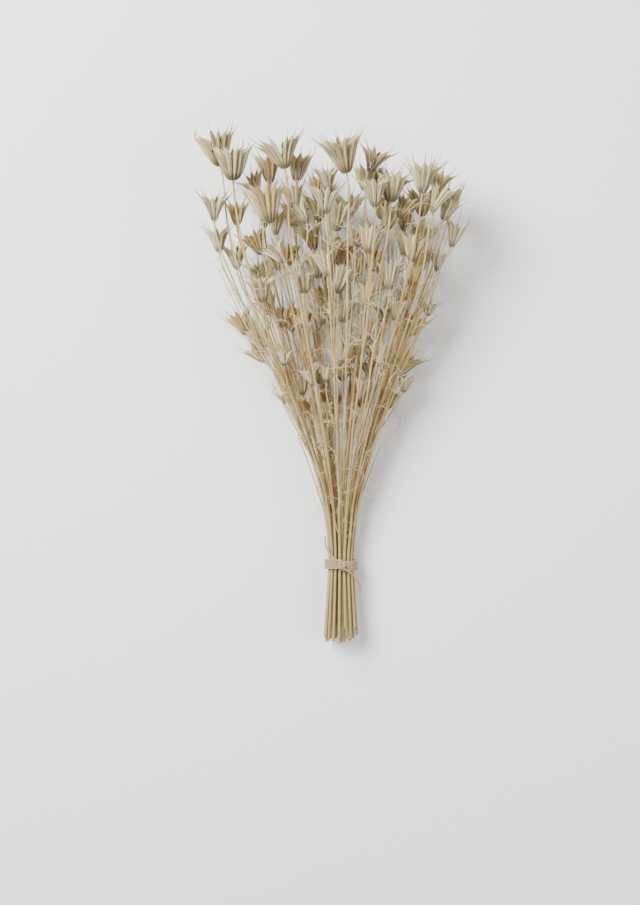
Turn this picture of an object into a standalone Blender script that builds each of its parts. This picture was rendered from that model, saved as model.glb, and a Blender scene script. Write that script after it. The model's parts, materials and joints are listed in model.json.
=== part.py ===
# A bunch of dried, bleached nigella stems with their open seed pods, tied near the cut
# ends and laid down. The stems run along +Y from the cut ends to the pods, +Z is up and
# the bunch lies on the plane z = 0. The origin is on that plane, under the middle of the
# tie. Every stem with its side shoots and pods grew as one piece, so it is one object.
# The twine that ties the stems is another.

import math
import random
from collections import namedtuple

import bmesh
import bpy
import numpy as np
from mathutils import Vector

MM = 0.001

# The bunch
SPRAYS = 32                     # stems cut from the plant, each with its side shoots
HIDDEN_HEADS = 70               # pods under and behind the ones that are seen, before crowding
CUT_END = -62 * MM              # where the stems were cut
CUT_STAGGER = 7 * MM            # the cut ends don't line up
TAIL_SPLAY = 1.35               # how much wider the cut ends stand than at the tie
FAN_LENGTH = 345 * MM           # from the tie to where the fan is fully open
FAN_HALF_WIDTH = 104 * MM
FAN_HALF_HEIGHT = 52 * MM
FAN_DRIFT = -9 * MM             # the fan's open end leans a little to -X
SEED = 7

# The stems, thick at the cut and slender at the pod
STEM_RADIUS = 1.55 * MM
NECK_RADIUS = 0.95 * MM
SHOOT_RADIUS = 0.85 * MM
SHOOT_NECK_RADIUS = 0.65 * MM
STEM_SIDES = 5
BEND_LENGTH = 55 * MM           # a stem turns to face its pod's way over this length
PATH_TOLERANCE = 0.45 * MM      # how far a straight run may stray from the curved stem
MOST_SHOOTS = 4

# The tie, turns of twine side by side
TIE_RADIUS = 12.6 * MM          # inside the twine
TWINE_RADIUS = 1.1 * MM
TIE_TURNS = 5
TIE_SIDES = 18
TIE_HALF_LENGTH = TIE_TURNS * TWINE_RADIUS
TWINE_GROOVE = 1.4              # radii of twine from the inside to between two turns
FLAT_SHARE = math.cos(math.pi / TIE_SIDES)   # a side's distance, for a corner's of 1
# The tie lies on one side, where its turns are pressed flat down to their grooves.
TIE_MIDDLE = (TIE_RADIUS + TWINE_GROOVE * TWINE_RADIUS) * FLAT_SHARE

# The pods, as shares of a pod's own length and radius
BEAK_LENGTH = 7 * MM
BEAK_FLARE = 1.12
SHOULDER = (0.17, 0.47, 0.36)   # height, keel radius, groove radius
NOTCH = (0.84, 0.94, 0.80)
CUP_FLOOR = 0.48
HIDDEN_DEPTH = 0.6              # pods below this depth have plainer cups

# The slices in which neighbours are pushed apart
LEVEL = 5 * MM
CLEARANCE = 0.75 * MM
TOUCH_GAP = 0.5 * MM
ROUNDS = (320, 200)             # with full pods, then with pods that gave way
LEAST_SHARE = 0.6               # of its size that a pod keeps after the first pass
SMALLEST_SHARE = 0.4            # a shoot whose pod ends smaller than this didn't grow
LYING_DEPTH = 0.06              # pods this low in the bunch lie on the ground
FORK_FREE = 28 * MM             # a shoot isn't pushed off its own stem this close to the fork

Head = namedtuple("Head", "across along length radius lean depth")

# The pods that are seen: where the stem meets the pod, across from the tie's middle and
# along from the tie, the pod's length and rim radius, all in mm, its lean to +X in
# degrees, and its depth, from 0 on the ground to 1 at the top of the bunch.
SEEN_HEADS = (
    (-104, 345, 29, 14, -13, 0.65),
    (-90, 330, 28, 14, -2, 0.95),
    (-48, 338, 25, 14, -13, 0.95),
    (-35, 331, 24, 10, 8, 0.62),
    (-105, 297, 22, 10, 0, 0.90),
    (-100, 272, 21, 10, -6, 0.75),
    (-63, 292, 32, 16, -10, 1.00),
    (-36, 294, 20, 8, -32, 0.85),
    (-44, 260, 20, 11, -34, 0.95),
    (-17, 323, 20, 9, -5, 0.60),
    (6, 334, 30, 16, -12, 0.95),
    (24, 339, 20, 11, 20, 0.65),
    (66, 319, 24, 12, 3, 0.92),
    (44, 311, 24, 11, 5, 0.85),
    (25, 306, 24, 12, -3, 0.97),
    (-14, 300, 23, 11, 0, 0.95),
    (75, 303, 24, 9, 24, 0.80),
    (80, 321, 20, 9, 22, 0.55),
    (91, 298, 18, 8, 22, 0.72),
    (87, 276, 22, 8, 16, 0.70),
    (52, 300, 20, 9, 28, 0.55),
    (34, 268, 24, 13, 9, 0.97),
    (61, 262, 24, 12, 11, 0.92),
    (13, 276, 16, 8, 8, 0.62),
    (-15, 248, 24, 11, -11, 1.00),
    (-37, 235, 18, 11, -6, 0.80),
    (-70, 228, 22, 11, -7, 0.90),
    (-58, 178, 19, 8, -40, 0.85),
    (-41, 174, 14, 9, 0, 0.80),
    (-27, 157, 17, 9, -18, 0.88),
    (-15, 160, 16, 8, 6, 0.95),
    (-55, 208, 20, 9, -5, 0.50),
    (-5, 235, 24, 12, 20, 0.88),
    (46, 238, 25, 11, 2, 0.88),
    (81, 256, 16, 7, 5, 0.62),
    (79, 218, 12, 8, 12, 0.55),
    (17, 225, 20, 9, 5, 0.90),
    (-6, 206, 16, 5, -3, 0.95),
    (52, 213, 19, 8, 12, 0.60),
    (25, 173, 20, 7, 0, 0.85),
    (40, 167, 16, 8, 18, 0.65),
    (49, 152, 16, 8, 14, 0.50),
    (3, 176, 22, 7, 8, 0.80),
    (66, 244, 18, 8, 14, 0.45),
    (-15, 131, 13, 5, 0, 0.60),
    (36, 138, 15, 7, 15, 0.45),
    (-40, 141, 13, 6, -24, 0.55),
)


def seen_heads():
    return [
        Head(x * MM, y * MM, length * MM, radius * MM, math.radians(lean), depth)
        for x, y, length, radius, lean, depth in SEEN_HEADS
    ]


def fan_open(along):
    """How far the fan has opened at a distance from the tie: 0 at the tie, 1 at the end."""
    share = np.clip(np.asarray(along) / FAN_LENGTH, 0, 1)
    return np.sin(0.5 * np.pi * share) ** 2


def fan_half_width(along):
    start = TIE_RADIUS - STEM_RADIUS
    return start + (FAN_HALF_WIDTH - start) * fan_open(along)


def fan_point(u, v, along):
    """The x and z of the fan's own coordinates, u across and v up, both from -1 to 1."""
    opened = fan_open(along)
    start = TIE_RADIUS - STEM_RADIUS
    low = TIE_MIDDLE - start + 9 * MM * opened
    x = FAN_DRIFT * opened + u * fan_half_width(along)
    z = low + (1 + v) * (start + (FAN_HALF_HEIGHT - start) * opened)
    return np.stack(np.broadcast_arrays(x, z), axis=-1)


def fan_place(head):
    """A head's u and v. Its depth runs between the fan's lower and upper surface."""
    drift = FAN_DRIFT * float(fan_open(head.along))
    u = max(-0.97, min(0.97, (head.across - drift) / float(fan_half_width(head.along))))
    reach = math.sqrt(1 - 0.92 * u * u)
    return u, reach * (2 * head.depth - 1)


def hidden_heads(draw):
    """The pods under the ones that are seen, evenly spread by two irrational steps."""
    heads = []
    for i in range(HIDDEN_HEADS):
        along = (128 + 205 * ((i * 0.7549) % 1) ** 0.75) * MM
        u = 1.76 * ((0.31 + i * 0.5698) % 1) - 0.88
        size = 0.75 + 0.25 * along / FAN_LENGTH
        across = FAN_DRIFT * float(fan_open(along)) + u * float(fan_half_width(along))
        heads.append(
            Head(
                across,
                along,
                draw.uniform(20, 26) * size * MM,
                draw.uniform(8.5, 12.5) * size * MM,
                math.radians(draw.uniform(-14, 14) + 16 * u),
                max(draw.uniform(-0.12, 0.6), 0.0),
            )
        )
    return heads


class Strand:
    """A stem or a side shoot with the pod at its end, as a place and a radius a slice."""

    def __init__(self, head, parent, fork, slices):
        self.head = head
        self.parent = parent
        self.u, self.v = fan_place(head)
        self.first = fork
        self.base = int(round(head.along / LEVEL))
        self.last = min(len(slices) - 1, int(math.ceil(self.top() / LEVEL)))
        self.centre = np.zeros((len(slices), 2))
        self.radius = np.zeros(len(slices))
        self.share = 1.0

    def top(self):
        head = self.head
        rise = (head.length + BEAK_LENGTH) * math.cos(head.lean)
        return head.along + rise + 0.3 * head.radius * abs(math.sin(head.lean))

    def route(self, slices, stem, tilt):
        """The strand's own way through the fan, before its neighbours push it aside."""
        head = self.head
        u, v = self.u, self.v
        if stem is not None:
            start = self.first * LEVEL
            share = np.clip((slices - start) / (head.along - start), 0, 1)
            eased = 1 - (1 - share) ** 1.5
            u = stem.u + (self.u - stem.u) * eased
            v = stem.v + (self.v - stem.v) * eased
        self.centre = fan_point(u, v, slices)
        at_head = fan_point(self.u, self.v, head.along)
        before = fan_point(self.u, self.v, head.along - LEVEL)
        slope = np.array([math.tan(head.lean), math.tan(tilt)])
        bend = slope - (at_head - before) / LEVEL
        rise = slices - head.along
        turn = np.clip(1 + rise / BEND_LENGTH, 0, 1) ** 2
        self.centre += (rise * turn * (rise < 0))[:, None] * bend
        past = rise >= 0
        self.centre[past] = at_head + rise[past, None] * slope

    def thicken(self, slices):
        """Stem radius below the pod, and the pod's own radius along its length."""
        head = self.head
        thick, thin = stem_radii(self)
        begin = self.first * LEVEL
        share = np.clip((slices - begin) / (head.along - begin), 0, 1)
        stem = thick + (thin - thick) * share
        reach = math.cos(head.lean)
        height = (slices - head.along) / (head.length * reach)
        pod = head.radius * (0.46 + 0.54 * height) / reach
        pod = np.minimum(pod, head.radius * BEAK_FLARE / reach)
        inside = (np.arange(len(slices)) >= self.base) & (height > -0.05)
        self.radius = np.where(inside, np.maximum(pod, stem), stem)

    def shrink(self, share):
        self.share *= share
        self.radius[self.base:] *= share


def stem_radii(strand):
    if strand.parent is None:
        return STEM_RADIUS, NECK_RADIUS
    return SHOOT_RADIUS, SHOOT_NECK_RADIUS


def grow_strands(draw):
    """Stems for the tallest heads, then a side shoot for every other head."""
    heads = sorted(seen_heads() + hidden_heads(draw), key=lambda head: -head.along)
    top = max(head.along + head.length + BEAK_LENGTH for head in heads)
    slices = np.arange(0, top + LEVEL, LEVEL)
    strands = [Strand(head, None, 0, slices) for head in heads[:SPRAYS]]
    for strand in strands:
        tilt = math.radians(draw.uniform(-10, 12))
        strand.route(slices, None, tilt)
    shoots = [0] * SPRAYS
    for head in heads[SPRAYS:]:
        parent, fork = nearest_stem(head, strands[:SPRAYS], shoots)
        shoots[parent] += 1
        shoot = Strand(head, parent, fork, slices)
        shoot.route(slices, strands[parent], math.radians(draw.uniform(-10, 12)))
        strands.append(shoot)
    for strand in strands:
        strand.thicken(slices)
    return strands, slices


def nearest_stem(head, stems, shoots):
    """The stem that passes closest below a head, and the slice where its shoot forks."""
    u, v = fan_place(head)
    place = fan_point(u, v, head.along)
    found = []
    for i, stem in enumerate(stems):
        if shoots[i] >= MOST_SHOOTS:
            continue
        gap = float(np.linalg.norm(stem.centre[int(head.along / LEVEL)] - place))
        length = min(max(45 * MM, 2.4 * gap), 120 * MM)
        fork = int((head.along - length) / LEVEL)
        if fork * LEVEL < stem.head.along - 30 * MM and fork > 6:
            found.append((gap + 4 * MM * shoots[i], i, fork))
    _, parent, fork = min(found)
    return parent, fork


def push_apart(strands, slices, rounds):
    """Moves the strands sideways, slice by slice, until none crosses another."""
    count, levels = len(strands), len(slices)
    home = np.array([s.centre for s in strands])
    radius = np.array([s.radius for s in strands])
    index = np.arange(levels)
    lying = [i for i, s in enumerate(strands) if s.head.depth < LYING_DEPTH]
    live = np.array([(index >= s.first) & (index <= s.last) for s in strands])
    meet = live[:, None] & live[None]
    for i, strand in enumerate(strands):
        meet[i, i] = False
        for j, other in enumerate(strands[:i]):
            if root_of(i, strand) == root_of(j, other):
                free = max(strand.first, other.first) + int(FORK_FREE / LEVEL)
                meet[i, j, :free] = meet[j, i, :free] = False
    need = (radius[:, None] + radius[None] + CLEARANCE) * meet
    shift = np.zeros_like(home)
    tie_middle = np.array((0, TIE_MIDDLE))
    held = TIE_RADIUS * FLAT_SHARE - STEM_RADIUS - 0.3 * MM
    held = held + 0.16 * np.maximum(slices - TIE_HALF_LENGTH - LEVEL, 0)
    for turn in range(rounds):
        place = home + shift
        gap = place[:, None] - place[None]
        distance = np.sqrt((gap ** 2).sum(-1)) + 1e-9
        over = np.maximum(need - distance, 0)
        shift += 0.45 * (gap * (over / distance)[..., None]).sum(1)
        if turn < rounds * 0.7:
            shift *= 0.985
        place = home + shift
        above = place[..., 1] - radius - 0.15 * MM
        shift[..., 1] += np.maximum(-above, 0)
        for i in lying:
            pod = slice(strands[i].base, strands[i].last + 1)
            shift[i, pod, 1] -= 0.3 * above[i, pod].min()
        from_middle = home + shift - tie_middle
        away = np.sqrt((from_middle ** 2).sum(-1))
        pull = np.maximum(away - held, 0) * (slices < 70 * MM)
        shift -= from_middle * (pull / np.maximum(away, 1e-9))[..., None]
        for i, strand in enumerate(strands):
            smooth(shift[i], strand, shift)
    for strand, own in zip(strands, home + shift):
        strand.centre = own


def make_room(strands, slices):
    """Pushes the strands apart. Where pods still crowd, they shrink, and it is done again.

    Returns the strands without the shoots whose pod found no room at all.
    """
    push_apart(strands, slices, ROUNDS[0])
    for strand, share in zip(strands, fitted_shares(strands)):
        strand.shrink(max(share, LEAST_SHARE))
    push_apart(strands, slices, ROUNDS[1])
    for strand, share in zip(strands, fitted_shares(strands)):
        strand.shrink(share)
    return [s for s in strands if s.parent is None or s.share > SMALLEST_SHARE]


def root_of(i, strand):
    return i if strand.parent is None else strand.parent


def smooth(own, strand, shift):
    """Keeps a pod rigid, a shoot on its stem, and the stem between them an even curve."""
    low, high = strand.first, strand.base
    own[high:] = own[high:strand.last + 1].mean(axis=0)
    if strand.parent is not None:
        own[:low + 1] = shift[strand.parent][low]
    for _ in range(3):
        middle = 0.5 * (own[low:high - 1] + own[low + 2:high + 1])
        own[low + 1:high] += 0.6 * (middle - own[low + 1:high])


def fitted_shares(strands):
    """How much of its size each pod keeps, to give way to what still crowds it."""
    shares = []
    for strand in strands:
        share = 1.0
        for level in range(strand.base, strand.last + 1):
            for other in strands:
                if other is strand or not other.first <= level <= other.last:
                    continue
                apart = float(np.linalg.norm(strand.centre[level] - other.centre[level]))
                room = max(apart - other.radius[level] - TOUCH_GAP, 0)
                share = min(share, room / strand.radius[level])
        shares.append(float(share))
    return shares


def tail_points(at_tie, draw):
    """A stem below the tie, splayed a little and resting on the ground."""
    x, z = at_tie
    lowest = TIE_MIDDLE - TIE_RADIUS + STEM_RADIUS
    end = CUT_END + draw.uniform(-1, 1) * CUT_STAGGER
    splayed = Vector((x * TAIL_SPLAY, end, STEM_RADIUS + (z - lowest) * TAIL_SPLAY))
    return [splayed, Vector((x, -TIE_HALF_LENGTH, z))]


def simplified(points, tolerance):
    """Only the points that a curve needs to stay this close to its own line."""
    first, last = points[0], points[-1]
    line = (last - first).normalized()
    strays = [((p - first) - line * (p - first).dot(line)).length for p in points]
    worst = max(range(len(points)), key=strays.__getitem__)
    if strays[worst] <= tolerance or len(points) < 3:
        return [first, last]
    before = simplified(points[:worst + 1], tolerance)
    return before[:-1] + simplified(points[worst:], tolerance)


def across_axes(along):
    """Two directions square to a stem that runs more or less along +Y: one level, one up."""
    side = along.cross(Vector((0, 0, 1))).normalized()
    return side, side.cross(along).normalized()


def ring(mesh, centre, along, radii, turn=0.0):
    side, up = across_axes(along)
    made = []
    for k, radius in enumerate(radii):
        angle = turn + math.tau * k / len(radii)
        place = centre + radius * (math.cos(angle) * side + math.sin(angle) * up)
        made.append(mesh.verts.new(place))
    return made


def bridge(mesh, low, high):
    """Faces between two rings, which may differ in count: the one that lags steps on."""
    i = j = 0
    while i < len(low) or j < len(high):
        a, b = low[i % len(low)], high[j % len(high)]
        if (i + 1) * len(high) <= (j + 1) * len(low):
            i += 1
            mesh.faces.new((a, low[i % len(low)], b))
        else:
            j += 1
            mesh.faces.new((a, high[j % len(high)], b))


def add_tube(mesh, points, radii):
    """An open tube with a capped start. Returns its last ring."""
    last = None
    for k, (point, radius) in enumerate(zip(points, radii)):
        before, after = points[max(k - 1, 0)], points[min(k + 1, len(points) - 1)]
        made = ring(mesh, point, (after - before).normalized(), [radius] * STEM_SIDES,
                    turn=-math.pi / 2)
        if last is None:
            mesh.faces.new(made)
        else:
            bridge(mesh, last, made)
        last = made
    return last


def add_pod(mesh, neck, base, axis, length, radius, count):
    """A ribbed cup of follicles, joined up to the notch. Each one ends in a beak."""
    down = -math.pi / 2
    rings = []
    for height, keel, groove in (SHOULDER, NOTCH):
        radii = [keel * radius, groove * radius] * count
        rings.append(ring(mesh, base + axis * height * length, axis, radii, turn=down))
    bridge(mesh, neck, rings[0])
    bridge(mesh, rings[0], rings[1])
    floor = mesh.verts.new(base + axis * CUP_FLOOR * length)
    side, up = across_axes(axis)
    for k in range(count):
        angle = down + math.tau * k / count
        out = math.cos(angle) * side + math.sin(angle) * up
        keel = rings[1][2 * k]
        left, right = rings[1][2 * k - 1], rings[1][2 * k + 1]
        tip = base + axis * (length + BEAK_LENGTH) + out * radius * BEAK_FLARE
        beak = mesh.verts.new(tip)
        mesh.faces.new((left, keel, beak))
        mesh.faces.new((keel, right, beak))
        mesh.faces.new((left, beak, floor))
        mesh.faces.new((beak, right, floor))


def follicle_count(head):
    """Small pods have fewer follicles, and so have those that can't be seen."""
    if head.depth < HIDDEN_DEPTH:
        return 5
    return 7 if head.radius < 8.5 * MM else 8 if head.radius < 12.5 * MM else 9


def add_strand(mesh, strand, draw):
    centre = strand.centre
    points = [
        Vector((centre[k][0], k * LEVEL, centre[k][1]))
        for k in range(strand.first, strand.base + 1)
    ]
    x, z = centre[strand.last] - centre[strand.base]
    axis = Vector((x, (strand.last - strand.base) * LEVEL, z)).normalized()
    rise = strand.head.along - points[-1].y
    base = points[-1] + axis * rise / axis.y
    if rise < 0:
        points.pop()
    points.append(base)
    if strand.parent is None:
        points = tail_points(centre[0], draw) + points
    points = simplified(points, PATH_TOLERANCE)
    thick, thin = stem_radii(strand)
    run = base.y - points[0].y
    radii = [thick + (thin - thick) * (p.y - points[0].y) / run for p in points]
    neck = add_tube(mesh, points, radii)
    length = strand.head.length * (0.5 + 0.5 * strand.share)
    radius = strand.head.radius * strand.share
    add_pod(mesh, neck, base, axis, length, radius, follicle_count(strand.head))


def closed_object(name, fill):
    mesh = bmesh.new()
    fill(mesh)
    bmesh.ops.recalc_face_normals(mesh, faces=mesh.faces)
    data = bpy.data.meshes.new(name)
    mesh.to_mesh(data)
    mesh.free()
    made = bpy.data.objects.new(name, data)
    bpy.context.scene.collection.objects.link(made)
    return made


def fused(stem, shoots):
    """A stem and its side shoots as one solid."""
    group = bpy.data.collections.new(stem.name + "_shoots")
    for shoot in shoots:
        group.objects.link(shoot)
    union = stem.modifiers.new("join_shoots", "BOOLEAN")
    union.operation = "UNION"
    union.operand_type = "COLLECTION"
    union.solver = "MANIFOLD"
    union.collection = group
    graph = bpy.context.evaluated_depsgraph_get()
    joined = bpy.data.meshes.new_from_object(stem.evaluated_get(graph))
    stem.modifiers.remove(union)
    stem.data = joined
    for shoot in shoots:
        bpy.data.objects.remove(shoot)
    bpy.data.collections.remove(group)


def make_sprays(strands, draw, finish):
    for i in range(SPRAYS):
        name = f"spray_{i + 1:02d}"
        made = []
        for j, strand in enumerate(strands):
            if root_of(j, strand) != i:
                continue
            part = f"{name}_part_{len(made)}" if made else name
            made.append(closed_object(part, lambda mesh: add_strand(mesh, strand, draw)))
        if len(made) > 1:
            fused(made[0], made[1:])
        made[0].data.materials.clear()
        made[0].data.materials.append(finish)


def tie_section():
    """The outline of the turns of twine side by side, as (along, radius) pairs."""
    groove = TIE_RADIUS + TWINE_GROOVE * TWINE_RADIUS
    outside = TIE_RADIUS + 2 * TWINE_RADIUS
    points = [(TIE_HALF_LENGTH, TIE_RADIUS), (-TIE_HALF_LENGTH, TIE_RADIUS)]
    for k in range(TIE_TURNS):
        along = -TIE_HALF_LENGTH + (2 * k + 1) * TWINE_RADIUS
        points.append((along - TWINE_RADIUS, groove))
        points.append((along - 0.5 * TWINE_RADIUS, outside))
        points.append((along + 0.5 * TWINE_RADIUS, outside))
    points.append((TIE_HALF_LENGTH, groove))
    return points


def add_tie(mesh):
    section = tie_section()
    around = []
    for k in range(TIE_SIDES):
        angle = math.tau * k / TIE_SIDES
        column = []
        for along, radius in section:
            x = radius * math.cos(angle)
            z = max(0.0, TIE_MIDDLE + radius * math.sin(angle))
            column.append(mesh.verts.new((x, along, z)))
        around.append(column)
    for k, column in enumerate(around):
        after = around[(k + 1) % TIE_SIDES]
        for m in range(len(section)):
            n = (m + 1) % len(section)
            mesh.faces.new((column[m], column[n], after[n], after[m]))


def dry_finish(name, colour, roughness):
    finish = bpy.data.materials.new(name)
    finish.use_nodes = True
    shader = finish.node_tree.nodes["Principled BSDF"]
    shader.inputs["Base Color"].default_value = (*colour, 1)
    shader.inputs["Roughness"].default_value = roughness
    shader.inputs["Metallic"].default_value = 0.0
    return finish


def main():
    for old in list(bpy.data.objects):
        bpy.data.objects.remove(old)
    draw = random.Random(SEED)
    strands, slices = grow_strands(draw)
    strands = make_room(strands, slices)
    straw = dry_finish("bleached_straw", (0.62, 0.54, 0.38), 0.7)
    make_sprays(strands, draw, straw)
    twine = closed_object("tie", add_tie)
    twine.data.materials.append(dry_finish("jute_twine", (0.42, 0.28, 0.15), 0.9))


main()
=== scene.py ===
# %% [markdown]
# # A bunch of dried nigella, laid down
#
# The object is a florist's bunch: bleached, dry nigella stems that fork a little, with an open
# ribbed seed pod on every tip, and twine round the stems near their cut ends. A frame of plain
# solids comes in first. It fixes the size and the place of everything. Each plain solid is then
# swapped for a fine one that follows the same stems and carries the same pods.

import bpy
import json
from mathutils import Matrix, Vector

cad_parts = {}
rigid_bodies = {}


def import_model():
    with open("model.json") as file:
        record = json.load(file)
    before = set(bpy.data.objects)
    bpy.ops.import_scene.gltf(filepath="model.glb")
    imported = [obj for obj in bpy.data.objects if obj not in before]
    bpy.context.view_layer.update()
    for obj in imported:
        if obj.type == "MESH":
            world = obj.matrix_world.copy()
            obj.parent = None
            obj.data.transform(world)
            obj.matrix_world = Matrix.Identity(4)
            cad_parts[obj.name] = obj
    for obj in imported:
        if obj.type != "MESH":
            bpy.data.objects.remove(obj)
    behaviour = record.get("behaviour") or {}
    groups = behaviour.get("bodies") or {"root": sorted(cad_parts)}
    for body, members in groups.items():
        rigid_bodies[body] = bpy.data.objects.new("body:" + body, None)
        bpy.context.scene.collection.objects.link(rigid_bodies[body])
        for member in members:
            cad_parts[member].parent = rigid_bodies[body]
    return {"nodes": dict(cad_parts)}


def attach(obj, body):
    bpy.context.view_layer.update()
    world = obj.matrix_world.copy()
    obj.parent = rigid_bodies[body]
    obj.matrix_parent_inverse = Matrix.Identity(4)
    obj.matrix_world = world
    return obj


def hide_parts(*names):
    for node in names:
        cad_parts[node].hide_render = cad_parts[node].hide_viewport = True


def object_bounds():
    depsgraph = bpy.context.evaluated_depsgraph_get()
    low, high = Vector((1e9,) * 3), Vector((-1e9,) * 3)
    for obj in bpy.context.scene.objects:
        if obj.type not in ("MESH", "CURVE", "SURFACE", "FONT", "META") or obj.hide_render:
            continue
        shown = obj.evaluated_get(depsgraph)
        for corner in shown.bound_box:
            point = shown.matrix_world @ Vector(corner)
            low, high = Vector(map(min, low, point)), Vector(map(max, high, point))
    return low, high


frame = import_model()
plain_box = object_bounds()
print("plain solids:", len(frame["nodes"]))

# %% Tools of the trade
import json
import math
import random
from collections import namedtuple

import bpy
import numpy as np
from mathutils import Vector

MM = 0.001


def placed(name, data):
    """A new object in the scene, made of this data."""
    made = bpy.data.objects.new(name, data)
    bpy.context.scene.collection.objects.link(made)
    return made


def unit(vectors):
    """The same directions, each of length one."""
    return vectors / np.maximum(np.linalg.norm(vectors, axis=-1, keepdims=True), 1e-9)


# %% [markdown]
# ## The camera
#
# The bunch lies on a table and is seen from straight above, so the camera hangs over it and looks
# down. One pixel of the picture is 0.85 mm where the upper pods are. A long lens keeps the high
# and the low pods nearly the same size. A camera with no perspective at all would be simpler, but
# a real picture always has some.

# %% Hang the camera
PIXEL = 0.85 * MM
PICTURE = (640, 905)
TIE_PIXEL = (342, 569)  # where the tie's middle would be, were it as high as the pods
POD_HEIGHT = 90 * MM  # a pixel has the size above at this height
LENS = 85  # mm, like the sensor's width
SENSOR = 36
camera_data = bpy.data.cameras.new("overhead")
camera_data.lens = LENS
camera_data.sensor_width = SENSOR
camera = placed("overhead", camera_data)
height = LENS / SENSOR * PICTURE[1] * PIXEL
camera.location = (
    (PICTURE[0] / 2 - TIE_PIXEL[0]) * PIXEL,
    (TIE_PIXEL[1] - PICTURE[1] / 2) * PIXEL,
    height + POD_HEIGHT,
)
bpy.context.scene.camera = camera
print("camera height in metres:", round(camera.location.z, 3))

# %% [markdown]
# ## The floor and the light
#
# A plain pale floor and a pale room stand in for a studio sweep. One large soft lamp comes from
# the upper left, because the pods are a little brighter on that side, and a weaker one from the
# right opens the shadows. Small lamps would draw hard shadows of every hair.

# %% Lay the floor
FLOOR_HALF = 4  # metres, far past the picture's edges
floor_mesh = bpy.data.meshes.new("floor")
corners = [(x * FLOOR_HALF, y * FLOOR_HALF, 0) for x, y in ((-1, -1), (1, -1), (1, 1), (-1, 1))]
floor_mesh.from_pydata(corners, [], [(0, 1, 2, 3)])
floor = placed("floor", floor_mesh)
floor.location.z = -0.5 * MM
paper = bpy.data.materials.new("pale_paper")
paper.use_nodes = True
paper_shader = paper.node_tree.nodes["Principled BSDF"]
paper_shader.inputs["Base Color"].default_value = (0.9, 0.9, 0.9, 1)
paper_shader.inputs["Roughness"].default_value = 0.9
floor_mesh.materials.append(paper)

# %% Light the room
room = bpy.data.worlds.new("room")
room.use_nodes = True
room.node_tree.nodes["Background"].inputs["Color"].default_value = (1.0, 1.0, 1.0, 1)
room.node_tree.nodes["Background"].inputs["Strength"].default_value = 0.55
bpy.context.scene.world = room
LAMP_AIM = Vector((0, 0.15, 0.05))  # the middle of the bunch


def soft_lamp(name, place, size, power):
    """A large square lamp that looks at the bunch."""
    lamp_data = bpy.data.lights.new(name, "AREA")
    lamp_data.size = size
    lamp_data.energy = power
    lamp = placed(name, lamp_data)
    lamp.location = place
    lamp.rotation_euler = (LAMP_AIM - Vector(place)).to_track_quat("-Z", "Y").to_euler()


soft_lamp("window", (-0.9, 0.9, 1.4), 0.9, 86)
soft_lamp("fill", (1.2, -0.2, 1.0), 1.2, 14)
print("lamps:", [o.name for o in bpy.data.objects if o.type == "LIGHT"])

# %% [markdown]
# ## How the bunch is laid out
#
# Thirty-two stems are gripped in a circle barely an inch across, and their pods fill a fan nine
# inches wide, so where each stem runs depends on all of its neighbours. The layout starts from
# the pods. Those that are seen have a written place, size and lean, and those under them are
# spread by a rule. The tallest pods sit on the main stems and the others on side shoots. Placing
# every stem by hand would be the other way, but they would soon run through each other.

# %% The sizes of the bunch
SPRAYS = 32  # stems cut from the plant, each with its side shoots
HIDDEN_HEADS = 70  # pods under and behind the ones that are seen, before crowding
CUT_END = -62 * MM  # where the stems were cut
CUT_STAGGER = 7 * MM  # the cut ends don't line up
TAIL_SPLAY = 1.35  # how much wider the cut ends stand than at the tie
FAN_LENGTH = 345 * MM  # from the tie to where the fan is fully open
FAN_HALF_WIDTH = 104 * MM
FAN_HALF_HEIGHT = 52 * MM
FAN_DRIFT = -9 * MM  # the fan's open end leans a little to -X
SEED = 7

# %% The sizes of the stems, the tie and the beaks
# The stems, thick at the cut and slender at the pod
STEM_RADIUS = 1.55 * MM
NECK_RADIUS = 0.95 * MM
SHOOT_RADIUS = 0.85 * MM
SHOOT_NECK_RADIUS = 0.65 * MM
BEND_LENGTH = 55 * MM  # a stem turns to face its pod's way over this length
MOST_SHOOTS = 4

# The tie, turns of twine side by side
TIE_RADIUS = 12.6 * MM  # inside the twine
TWINE_RADIUS = 1.1 * MM
TIE_TURNS = 5
TIE_SIDES = 18
TIE_HALF_LENGTH = TIE_TURNS * TWINE_RADIUS
TWINE_GROOVE = 1.4  # radii of twine from the inside to between two turns
FLAT_SHARE = math.cos(math.pi / TIE_SIDES)  # a side's distance, for a corner's of 1
# The tie lies on one side, where its turns are pressed flat down to their grooves.
TIE_MIDDLE = (TIE_RADIUS + TWINE_GROOVE * TWINE_RADIUS) * FLAT_SHARE

BEAK_LENGTH = 7 * MM
BEAK_FLARE = 1.12

# %% The pods that are seen
Head = namedtuple("Head", "across along length radius lean depth")

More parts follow.
